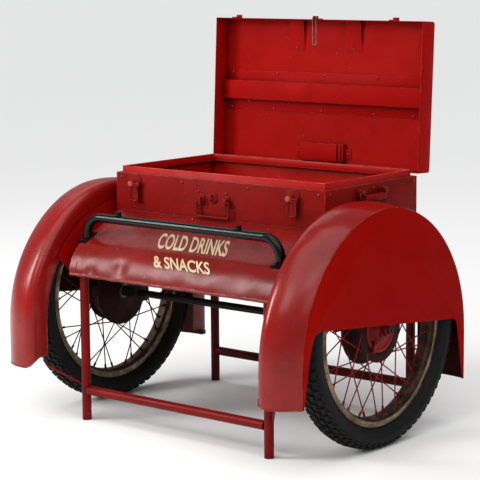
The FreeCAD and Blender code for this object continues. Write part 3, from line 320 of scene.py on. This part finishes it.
def raw_steel(name, bright, dull, roughness=0.4, rust=0.3, patch=30.0):
    """Uncoated steel that has dulled and rusted in spots: how much of it is rust goes from 0 to 1."""
    material, tree = new_tree(name)
    place = add_node(tree, "ShaderNodeTexCoord").outputs["Object"]
    film = add_node(tree, "ShaderNodeTexNoise", {"Vector": place, "Scale": patch, "Detail": 8.0,
                                                 "Roughness": 0.65})
    haze = add_node(tree, "ShaderNodeMapRange", {0: film.outputs[0], 1: 0.35, 2: 0.65})
    tone = add_node(tree, "ShaderNodeMix", {0: haze.outputs[0], 6: linear(bright), 7: linear(dull)},
                    data_type="RGBA")
    bloom = add_node(tree, "ShaderNodeTexNoise", {"Vector": place, "Scale": patch * 1.7, "Detail": 10.0,
                                                  "Roughness": 0.75, "Distortion": 0.6})
    spots = add_node(tree, "ShaderNodeMapRange", {0: bloom.outputs[0], 1: 0.68 - 0.25 * rust,
                                                  2: 0.8 - 0.25 * rust})
    colour = add_node(tree, "ShaderNodeMix", {0: spots.outputs[0], 6: tone.outputs[2], 7: linear("#4a2413")},
                      data_type="RGBA")
    metal = add_node(tree, "ShaderNodeMapRange", {0: spots.outputs[0], 3: 1.0, 4: 0.1})
    polish = add_node(tree, "ShaderNodeMapRange", {0: bloom.outputs[0], 1: 0.3, 2: 0.75, 3: roughness,
                                                   4: roughness + 0.4})
    pits = add_node(tree, "ShaderNodeBump", {"Height": bloom.outputs[0], "Strength": 0.4,
                                             "Distance": 0.0004})
    shader = add_node(tree, "ShaderNodeBsdfPrincipled", {
        "Base Color": colour.outputs[2], "Metallic": metal.outputs[0], "Roughness": polish.outputs[0],
        "Normal": pits.outputs[0]})
    add_node(tree, "ShaderNodeOutputMaterial", {"Surface": shader.outputs[0]})
    return material


dull_steel = raw_steel("oxidised_mild_steel", "#8a837c", "#4d4742", roughness=0.4, rust=0.6)
dressed(dull_steel, "hinge_pins", "lid_wire", "hub_bearings_left", "hub_bearings_right")

# ------------------------------------------------------------------ wheels
# Light motorcycle wheels: block-tread tyres on drop-centre rims, thirty-six spokes and a brake drum.
# The rims are pitted chrome round a rusted well, and the brake plates, the drums and the spokes are painted
# over in red; the drums and the left wheel's spokes are given a near-black red instead, a painted shade.


def spun(name, outline, centre, steps=96, closed=True):
    """A ring turned about an axle along X, from an outline of (x, radius) corners in metres."""
    bpy.ops.object.select_all(action="DESELECT")
    mesh = bpy.data.meshes.new(name)
    corners = [(centre[0] + x, centre[1], centre[2] + radius) for x, radius in outline]
    joins = [(at, at + 1) for at in range(len(corners) - 1)] + ([(len(corners) - 1, 0)] if closed else [])
    mesh.from_pydata(corners, joins, [])
    piece = bpy.data.objects.new(name, mesh)
    scene.collection.objects.link(piece)
    piece.select_set(True)
    bpy.context.view_layer.objects.active = piece
    bpy.ops.object.mode_set(mode="EDIT")
    bpy.ops.mesh.select_all(action="SELECT")
    bpy.ops.mesh.spin(steps=steps, angle=2 * math.pi, center=centre, axis=(1, 0, 0))
    bpy.ops.mesh.select_all(action="SELECT")
    bpy.ops.mesh.remove_doubles(threshold=0.00002)
    bpy.ops.mesh.normals_make_consistent(inside=False)
    bpy.ops.object.mode_set(mode="OBJECT")
    return piece


def rubber(name, black, dust):
    """Old tyre rubber: matt black, greyed with dust in patches, and darkened in its grooves as a painted
    shade.
    """
    material, tree = new_tree(name)
    place = add_node(tree, "ShaderNodeTexCoord").outputs["Object"]
    cloud = add_node(tree, "ShaderNodeTexNoise", {"Vector": place, "Scale": 22.0, "Detail": 8.0,
                                                  "Roughness": 0.7})
    fade = add_node(tree, "ShaderNodeMapRange", {0: cloud.outputs[0], 1: 0.42, 2: 0.72})
    tone = add_node(tree, "ShaderNodeMix", {0: fade.outputs[0], 6: linear(black), 7: linear(dust)},
                    data_type="RGBA")
    # painted shade: the rubber darkens to near black in its grooves
    open_air = add_node(tree, "ShaderNodeAmbientOcclusion", {"Distance": 0.008}, samples=4)
    groove_shade = add_node(tree, "ShaderNodeMapRange", {0: open_air.outputs["AO"], 1: 0.4, 2: 0.8, 3: 0.8, 4: 0.0})
    colour = add_node(tree, "ShaderNodeMix", {0: groove_shade.outputs[0], 6: tone.outputs[2], 7: linear("#050505")},
                      data_type="RGBA")
    polish = add_node(tree, "ShaderNodeMapRange", {0: cloud.outputs[0], 1: 0.3, 2: 0.7, 3: 0.55, 4: 0.85})
    crackle = add_node(tree, "ShaderNodeTexVoronoi", {"Vector": place, "Scale": 260.0},
                       feature="DISTANCE_TO_EDGE")
    crazing = add_node(tree, "ShaderNodeMapRange", {0: crackle.outputs[0], 1: 0.0, 2: 0.12})
    relief = add_node(tree, "ShaderNodeBump", {"Height": crazing.outputs[0], "Strength": 0.25,
                                               "Distance": 0.0003})
    shader = add_node(tree, "ShaderNodeBsdfPrincipled", {
        "Base Color": colour.outputs[2], "Roughness": polish.outputs[0], "Specular IOR Level": 0.2,
        "Normal": relief.outputs[0]})
    add_node(tree, "ShaderNodeOutputMaterial", {"Surface": shader.outputs[0]})
    return material


tyre_rubber = rubber("weathered_tyre_rubber", "#070707", "#141312")
old_chrome = raw_steel("pitted_old_chrome", "#8f8268", "#4e3f2a", roughness=0.14, rust=0.8, patch=14.0)
rusted_well = raw_steel("rusted_rim_well", "#4a3f33", "#2a211a", roughness=0.45, rust=0.9, patch=18.0)
wheel_enamel = enamel("overpainted_wheel_enamel", "#720806", "#84120e", "#240504", wear=0.7, gloss=0.4,
                      level=0.12, dirt=0.6, patch=14.0, brush=(20, 60, 60), worn="#8c4a40")
# a near-black red for the drums and the left wheel's spokes, a painted shade
wheel_shade_enamel = enamel("painted_shade_wheel_enamel", "#210605", "#2c0a08", "#0a0303", wear=0.2, gloss=0.55,
                     level=0.1, dirt=0.6, patch=9.0, worn="#6d3a32")

# the tyre's outline from bead to bead in (x, radius): a soft sidewall with a scuff rib on each side
side_wall = [(0.0198, 0.2395), (0.0198, 0.2530), (0.0235, 0.2552), (0.0262, 0.2568), (0.0262, 0.2592),
             (0.0312, 0.2625), (0.0345, 0.2662), (0.0350, 0.2690), (0.0374, 0.2722), (0.0386, 0.2770),
             (0.0388, 0.2820), (0.0379, 0.2870), (0.0356, 0.2920), (0.0320, 0.2958), (0.0262, 0.2990),
             (0.0180, 0.3014), (0.0090, 0.3027)]
inner_wall = [(0.0090, 0.2960), (0.0220, 0.2930), (0.0295, 0.2860), (0.0313, 0.2780), (0.0290, 0.2705),
              (0.0205, 0.2625), (0.0140, 0.2560), (0.0130, 0.2395)]
tyre_outline = (side_wall + [(-x, r) for x, r in side_wall[::-1]]
                + [(-x, r) for x, r in inner_wall[::-1]] + inner_wall)

# tread blocks: two staggered rows in the middle and a square lug on each shoulder, 27 mm apart
block_rows = ((0.0085, 0.3050, 0.0, 0.0130, 0.0165), (-0.0085, 0.3050, 0.5, 0.0130, 0.0165),
              (0.0255, 0.3008, 0.5, 0.0120, 0.0165), (-0.0255, 0.3008, 0.0, 0.0120, 0.0165),
              (0.0340, 0.2938, 0.0, 0.0070, 0.0120), (-0.0340, 0.2938, 0.5, 0.0070, 0.0120))
block_height, blocks_round = 0.0062, 72
well_half_width = 0.0195
bpy.ops.object.select_all(action="DESELECT")
bpy.ops.mesh.primitive_cube_add(size=1)
block = bpy.context.object
for side_name, side in (("left", -1), ("right", 1)):
    low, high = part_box("tyre_" + side_name)
    hub_middle = (low + high) / 2
    tyre = spun("tyre_%s_carcass" % side_name, tyre_outline, hub_middle)
    tread_mesh = bmesh.new()
    for x, radius, shift, wide, long in block_rows:
        lean = math.copysign(max(0.0, abs(x) - 0.012) * 26, x)
        shape = Matrix.Translation((x, 0, radius)) @ Matrix.Rotation(lean, 4, "Y")
        shape = shape @ Matrix.Diagonal((wide, long, block_height, 1))
        for number in range(blocks_round):
            turn = Matrix.Rotation(2 * math.pi * (number + shift) / blocks_round, 4, "X")
            copy = block.data.copy()
            copy.transform(Matrix.Translation(hub_middle) @ turn @ shape)
            tread_mesh.from_mesh(copy)
            bpy.data.meshes.remove(copy)
    tread = bpy.data.objects.new("tyre_%s_tread" % side_name, bpy.data.meshes.new("tread"))
    tread_mesh.to_mesh(tread.data)
    tread_mesh.free()
    scene.collection.objects.link(tread)
    chamfer = tread.modifiers.new("chamfer", "BEVEL")
    chamfer.width, chamfer.segments = 0.0012, 1
    apply_all(tread)
    apply_all(tyre)
    stands_for(tyre, tyre_rubber, "tyre_" + side_name)
    tread.data.materials.append(tyre_rubber)
    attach(tread, "wheel_" + side_name)

    # the rim's flanges keep their chrome, and the well between them is rusted brown
    rim = eased("rim_" + side_name, old_chrome, 0.0011)
    rim.data.materials.append(rusted_well)
    for face in rim.data.polygons:
        if abs(face.center.x - hub_middle.x) < well_half_width:
            face.material_index = 1
    eased("hub_" + side_name, wheel_shade_enamel, 0.0012)
    # the right wheel's spokes take the red enamel, and the left wheel's take the near-black one as a painted
    # shade
    dressed(wheel_enamel if side > 0 else wheel_shade_enamel, "spokes_" + side_name)
    # the drum's brake plate and the cam arm outside it
    eased("brake_plate_" + side_name, wheel_enamel, 0.0010)
    eased("brake_lever_" + side_name, wheel_enamel, 0.0006)
bpy.data.objects.remove(block)
eased("axle_clips", wheel_enamel, 0.0006)
eased("axle_nuts", wheel_enamel, 0.0008)

# ------------------------------------------------------------------ fenders
# Each is a wheeled sheet-steel crown welded to a flat outer plate, with a small closing plate inboard.
# The crowns shine where they are rubbed, and carry shallow dents and a rolled edge.
crown_enamel = enamel("buffed_gloss_enamel", "#7c0805", "#8a100a", "#4c0c08", wear=0.5, gloss=0.19,
                      level=0.32, dirt=0.35, patch=4.5, brush=(10, 4, 4), worn="#cf8478")
plate_enamel = enamel("flat_brushed_enamel", "#8a0502", "#900803", "#6c0502", wear=0.5, gloss=0.55,
                      level=0.02, dirt=0.2, patch=3.0, brush=(4, 4, 60), worn="#b8483c")
# a near-black red for faces in the cart's shadow, a painted shade
shade_enamel = enamel("shaded_back_enamel", "#2a0605", "#380b09", "#120303", wear=0.3, gloss=0.55,
                      level=0.08, dirt=0.5, patch=6.0)


def pressed(name, rows, thickness, dents):
    """A sheet pressed from rows of points: smoothed, dented inwards at (place, depth, spread) and
    thickened on its inner side."""
    bpy.ops.object.select_all(action="DESELECT")
    across = len(rows[0])
    mesh = bpy.data.meshes.new(name)
    mesh.from_pydata([spot for row in rows for spot in row], [],
                     [(r * across + c, r * across + c + 1, (r + 1) * across + c + 1, (r + 1) * across + c)
                      for r in range(len(rows) - 1) for c in range(across - 1)])
    piece = bpy.data.objects.new(name, mesh)
    scene.collection.objects.link(piece)
    piece.modifiers.new("smooth", "SUBSURF").levels = 2
    apply_all(piece)
    normals = [vertex.normal.copy() for vertex in piece.data.vertices]
    for vertex, normal in zip(piece.data.vertices, normals):
        push = sum(depth * math.exp(-((vertex.co - place).length / spread) ** 2)
                   for place, depth, spread in dents)
        vertex.co -= normal * push
    sheet = piece.modifiers.new("sheet", "SOLIDIFY")
    sheet.thickness, sheet.offset = thickness, -1
    apply_all(piece)
    return piece


def beaded(name, path, radius):
    """A round bead along a path of points."""
    curve = bpy.data.curves.new(name, "CURVE")
    curve.dimensions, curve.bevel_depth, curve.bevel_resolution = "3D", radius, 3
    line = curve.splines.new("POLY")
    line.points.add(len(path) - 1)
    for point, spot in zip(line.points, path):
        point.co = (*spot, 1)
    curve.use_fill_caps = True
    bead = bpy.data.objects.new(name, curve)
    scene.collection.objects.link(bead)
    bpy.ops.object.select_all(action="DESELECT")
    bead.select_set(True)
    bpy.context.view_layer.objects.active = bead
    bpy.ops.object.convert(target="MESH")
    apply_all(bead)
    return bead


def joined(piece, *others):
    """One piece made of several."""
    bpy.ops.object.select_all(action="DESELECT")
    for item in (piece, *others):
        item.select_set(True)
    bpy.context.view_layer.objects.active = piece
    bpy.ops.object.join()
    return piece


fender_y, fender_z, plate_edge, skirt_edge, skirt_radius = -0.0175, 0.265, 0.5093, 0.3992, 0.300
crown_radius, crown_swell, crease_radius, crease_sink = 0.3668, 0.024, 0.356, 0.012
toe_round, toe_top = 0.028, 0.2
bead_radius, bead_limit, bead_lift = 0.0016, 0.5075, 0.002
for side_name, side, drawn_in, front_drop, rear_drop in (("left", -1, 0.030, 0.116, 0.142),
                                                         ("right", 1, 0.0, 0.095, 0.142)):
    stations = [(0.0, front_drop * k / 4) for k in (4, 3.8, 3, 2, 1)]
    stations += [(math.radians(7.5 * k), 0.0) for k in range(25)]
    stations += [(math.pi, rear_drop * k / 4) for k in (1, 2, 3, 3.8, 4)]
    rows = []
    for angle, drop in stations:
        nose = max(0.0, math.cos(angle)) ** 0.8
        share = min(1.0, max(0.0, (math.degrees(angle) - 30) / 70))
        less = drawn_in * (1 + math.cos(math.pi * share)) / 2
        crown = crown_radius + crown_swell * nose - less
        crease = crease_radius - crease_sink * nose - 0.4 * less
        swell = crown - crease
        section = [(plate_edge, crease), (plate_edge - 0.004, crease + swell * 0.13),
                   (plate_edge - 0.026, crease + swell * 0.62), (plate_edge - 0.052, crease + swell * 0.94),
                   (plate_edge - 0.078, crown), (skirt_edge + 0.022, crown),
                   (skirt_edge + 0.009, crown - 0.004), (skirt_edge + 0.001, crown - 0.014),
                   (skirt_edge, crown - 0.034), (skirt_edge, (crown - 0.034 + skirt_radius) / 2),
                   (skirt_edge, skirt_radius + 0.006), (skirt_edge, skirt_radius)]
        row = []
        for x, radius in section:
            past_shoulder = max(0.0, plate_edge - 0.084 - x) + crown - radius if x < 0.425 else 0.0
            nearness = max(0.0, drop / (front_drop if angle == 0 else rear_drop) - 0.65) / 0.30
            trim = toe_round * min(1.0, past_shoulder / 0.05) ** 2 * min(1.0, nearness)
            row.append(Vector((x * side, fender_y - radius * math.cos(angle),
                               fender_z + radius * math.sin(angle) - drop + trim)))
        rows.append(row)
    if side > 0:
        rows = [row[::-1] for row in rows]
    seeded = random.Random(11 + side)
    dents = []
    for number in range(16):
        angle = math.radians(seeded.uniform(-8, 150))
        radius = 0.372 if angle > 0.5 else 0.385
        place = Vector((seeded.uniform(0.43, 0.49) * side, fender_y - radius * math.cos(angle),
                        fender_z + radius * math.sin(angle)))
        dents.append((place, seeded.uniform(0.0006, 0.0022), seeded.uniform(0.010, 0.028)))
    crown_piece = pressed("fender_crown_%s_sheet" % side_name, rows, 0.0014, dents)
    edge = -1 if side < 0 else 0
    path = list(rows[0]) if side < 0 else list(rows[0][::-1])
    path += [row[edge] for row in rows[1:-1]]
    path += list(rows[-1][::-1]) if side < 0 else list(rows[-1])
    bead_path = [Vector((min(abs(spot.x), bead_limit) * side, spot.y,
                         spot.z + (bead_lift if spot.z < toe_top else 0))) for spot in path]
    bead = beaded("fender_bead", bead_path, bead_radius)
    crown_piece = joined(crown_piece, bead)
    stands_for(crown_piece, crown_enamel, "fender_crown_" + side_name)
    # the faces under the crown take the near-black shade enamel, a painted shade
    crown_piece.data.materials.append(shade_enamel)
    for face in crown_piece.data.polygons:
        spoke = Vector((0, face.center.y - fender_y, max(0.0, face.center.z - fender_z)))
        core = Vector((0.455 * side, fender_y, min(face.center.z, fender_z))) + spoke.normalized() * 0.335
        if face.normal.dot(face.center - core) < 0:
            face.material_index = 1
    side_plate = eased("fender_side_plate_" + side_name, plate_enamel, 0.0005)
    # the plate's face towards the wheel takes the near-black shade enamel, a painted shade
    side_plate.data.materials.append(shade_enamel)
    for face in side_plate.data.polygons:
        if face.normal.x * side < -0.5:
            face.material_index = 1
    eased("fender_inner_plate_" + side_name, plate_enamel, 0.0005)
dressed(plate_enamel, "fender_standoffs")

# ------------------------------------------------------------------ front panel
# One sheet folded down from the trunk's front to a rounded nose with a rolled lip, on two gussets.
# Its enamel is chalked by the sun, scuffed along the lip and lettered in cream signwriting.
apron_enamel = enamel("chalked_gloss_enamel", "#6c0906", "#7c1712", "#300d09", wear=0.8, gloss=0.24,
                      level=0.20, dirt=0.45, patch=4.0, brush=(3, 30, 30), worn="#d9a095")
fold_top, fold, nose_spot, lip = (Vector(c) for c in ((-0.0755, 0.5560), (-0.2340, 0.4830),
                                                      (-0.2680, 0.4500), (-0.2845, 0.4060)))
slope_run = (fold - fold_top).length
slope_way = (fold - fold_top).normalized()
first, second = nose_spot - fold, lip - nose_spot
spread = 2 * (first.x * second.y - first.y * second.x)
ring = Vector((second.y * first.dot(fold + nose_spot) - first.y * second.dot(nose_spot + lip),
               first.x * second.dot(nose_spot + lip) - second.x * first.dot(fold + nose_spot))) / spread
bend = (fold - ring).length
nose_run = bend * (fold - ring).angle(lip - ring)


def panel_at(x, run, lift=0.0):
    """The point a distance down the panel from its top edge, lifted off its face."""
    if run <= slope_run:
        spot, out = fold_top + slope_way * run, Vector((slope_way.y, -slope_way.x))
    else:
        turned = Matrix.Rotation((run - slope_run) / bend, 2) @ (fold - ring)
        spot, out = ring + turned, turned.normalized()
    spot = spot + out * lift
    return Vector((x, spot.x, spot.y))


left_end, right_end, full_run = -0.343, 0.385, slope_run + nose_run
columns = [left_end, left_end + 0.0225, left_end + 0.0235]
columns += [left_end + 0.024 + (right_end - left_end - 0.039) * k / 44 for k in range(1, 44)]
columns += [right_end - 0.0150, right_end - 0.0140, right_end]
runs = [slope_run * k / 9 for k in range(9)] + [slope_run + nose_run * k / 8 for k in range(9)]
rows = []
for run in runs:
    rows.append([panel_at(x, run, 0.0014 if x < left_end + 0.023 or x > right_end - 0.0145 else 0.0)
                 for x in columns[::-1]])
seeded = random.Random(5)
dents = [(panel_at(-0.165, full_run - 0.030), 0.0045, 0.022),
         (panel_at(-0.265, full_run - 0.012), 0.0030, 0.02),
         (panel_at(0.060, full_run - 0.008), 0.0025, 0.03),
         (panel_at(0.240, full_run - 0.040), 0.0025, 0.035)]
dents += [(panel_at(seeded.uniform(-0.32, 0.36), seeded.uniform(0.02, full_run)),
           seeded.uniform(0.0004, 0.0016), seeded.uniform(0.015, 0.05)) for number in range(22)]
panel = pressed("apron_sheet", rows, 0.0014, dents)
roll_radius, roll_offset = 0.0042, 0.0028
roll_path = [Vector((x, lip.x + roll_offset, lip.y - roll_offset + seeded.uniform(-0.0006, 0.0006)))
             for x in columns]
stands_for(joined(panel, beaded("lip_roll", roll_path, roll_radius)), apron_enamel, "apron_panel")
# the gussets under the panel take the near-black shade enamel, a painted shade
dressed(shade_enamel, "apron_gussets")

# cream lettering, 0.3 mm proud of the sheet
sign_paint = enamel("cream_sign_enamel", "#cfb892", "#bda47c", "#8a5a44", wear=0.3, gloss=0.4, level=0.3,
                    dirt=0.35, patch=20.0)
letters_proud = 0.0003
for words, start, end, upper, lower, lean in (("COLD DRINKS", -0.084, 0.155, 0.090, 0.160, 0.53),
                                              ("& SNACKS", -0.047, 0.145, 0.189, 0.224, 0.72)):
    bpy.ops.object.select_all(action="DESELECT")
    bpy.ops.object.text_add()
    letters = bpy.context.object
    letters.data.body = words
    letters.data.offset = 0.024
    bpy.ops.object.convert(target="MESH")
    shape = bmesh.new()
    shape.from_mesh(letters.data)
    xs, ys = ([vertex.co[axis] for vertex in shape.verts] for axis in (0, 1))
    for cut in range(1, 10):
        level = min(ys) + (max(ys) - min(ys)) * cut / 10
        bmesh.ops.bisect_plane(shape, geom=shape.verts[:] + shape.edges[:] + shape.faces[:],
                               plane_co=(0, level, 0), plane_no=(0, 1, 0))
    for vertex in shape.verts:
        across = (vertex.co.x - min(xs)) / (max(xs) - min(xs))
        down = (max(ys) - vertex.co.y) / (max(ys) - min(ys))
        # the rows lean back, so that the strokes look upright on the slope
        x = start + (end - start) * across - lean * (1 - down) * (lower - upper)
        vertex.co = panel_at(x, upper + (lower - upper) * down, letters_proud)
    bmesh.ops.recalc_face_normals(shape, faces=shape.faces[:])
    shape.to_mesh(letters.data)
    shape.free()
    letters.name = words.split()[-1].lower() + "_lettering"
    letters.data.materials.append(sign_paint)
    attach(letters, "cart")

# ------------------------------------------------------------------ push bar
# 25 mm tube bent down at both ends onto bolted feet. The black stove enamel is glossy, and worn to
# grey at its edges.
bar_enamel = enamel("black_stove_enamel", "#050505", "#0b0b0b", "#030303", wear=0.25, gloss=0.16, level=0.2,
                    dirt=0.3, patch=9.0, brush=(4, 60, 60), worn="#5a5754")
dressed(bar_enamel, "bumper_bar")
eased("bumper_bolts", bar_enamel, 0.0012, 3)

# ------------------------------------------------------------------ handles and latches
# Bent-wire drop handle and staple in front, a grip on each end, and two drop latches, painted over.
for name, width in (("handle_brackets", 0.0006), ("lock_staple", 0.0006),
                    ("latch_lever_left", 0.0005), ("latch_lever_right", 0.0005),
                    ("side_handle_left", 0.0008), ("side_handle_right", 0.0008)):
    eased(name, trunk_enamel, width)
dressed(trunk_enamel, "front_handle")
# each latch plate carries a knob rubbed down to its pink undercoat
knob_enamel = enamel("rubbed_pink_undercoat", "#a8483e", "#98382f", "#6a1e18", wear=0.6, gloss=0.35, level=0.3,
                     dirt=0.3, patch=30.0)
knob_spots = (Vector((-0.3005, 0.630)), Vector((0.2475, 0.630)))
knob_radius, knob_front = 0.0080, -0.0790
plates = eased("latch_plates", trunk_enamel, 0.0007)
plates.data.materials.append(knob_enamel)
for face in plates.data.polygons:
    off_knob = min((face.center.xz - knob).length for knob in knob_spots)
    if face.center.y < knob_front and off_knob < knob_radius:
        face.material_index = 1
